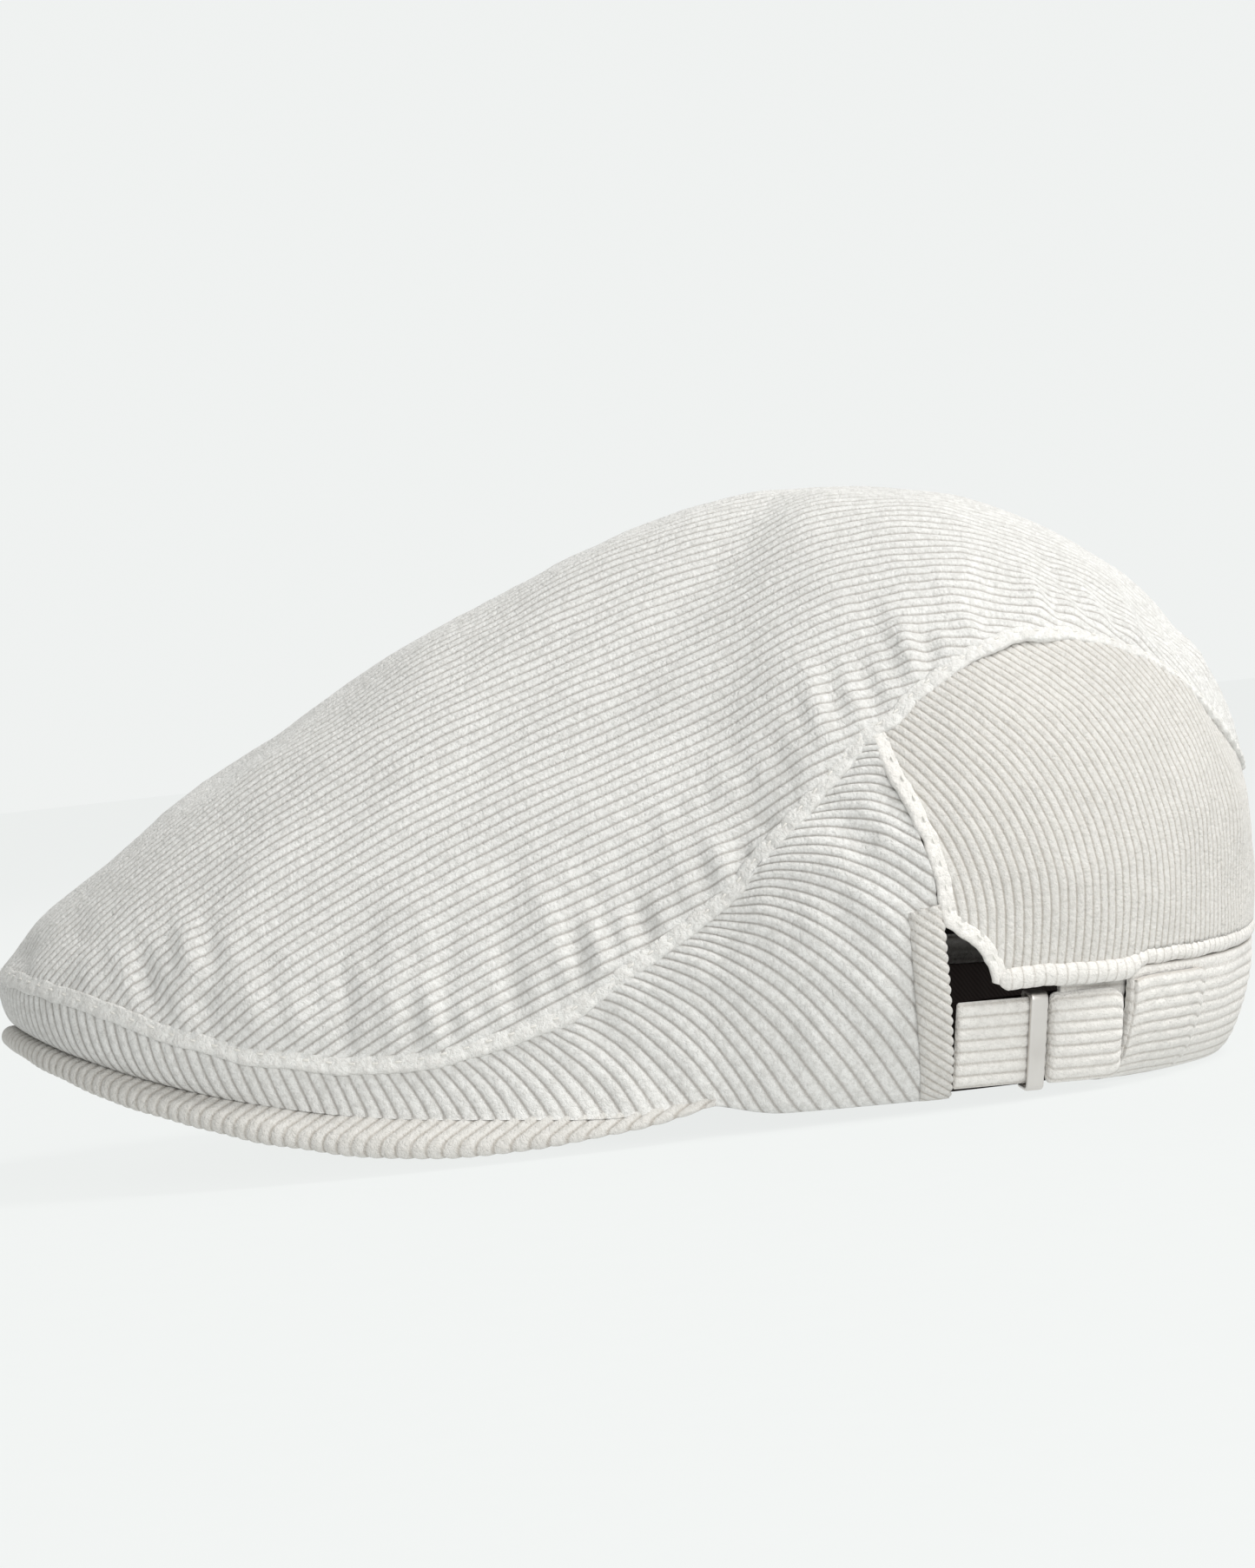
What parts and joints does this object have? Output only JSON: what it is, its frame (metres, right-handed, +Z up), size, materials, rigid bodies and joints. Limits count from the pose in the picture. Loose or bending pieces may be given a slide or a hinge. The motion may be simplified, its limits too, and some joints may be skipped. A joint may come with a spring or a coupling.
{
  "type": "flat newsboy cap",
  "caption": "Flat newsboy cap in ribbed cloth, with a stiff arched brim, a dark lining, and a side adjuster strap with a sliding metal buckle.",
  "frame": {"origin": "centre of the bounding box in plan, at the surface the cap rests on", "axes": "-Y to the front (brim), +X to the wearer's left, +Z up"},
  "size_m": [0.186, 0.2864, 0.137],
  "materials": {
    "cloth": "off-white ribbed cotton cloth",
    "lining": "near-black smooth lining cloth",
    "board": "plain stiff board",
    "sweat": "near-black woven band",
    "label": "plain woven label, blank",
    "metal": "pale satin metal"
  },
  "bodies": {
    "cap": {"top_panel": "cloth", "side_panel_left": "cloth", "side_panel_right": "cloth", "back_panel": "cloth", "back_hem": "cloth", "back_band": "cloth", "window_binding": "cloth", "lining_top": "lining", "lining_left": "lining", "lining_right": "lining", "lining_back": "lining", "brim_top_cover": "cloth", "brim_board": "board", "brim_under_cover": "cloth", "sweatband": "sweat", "size_label": "label", "strap": "cloth", "strap_fold": "cloth", "strap_anchor": "cloth"},
    "slide": {"buckle": "metal"}
  },
  "joints": [
    {"name": "buckle_slide", "type": "slide", "parent": "cap", "child": "slide", "axis": [-0.2352, 0.9709, -0.045], "range_m": [-0.013, 0.0013]}
  ]
}
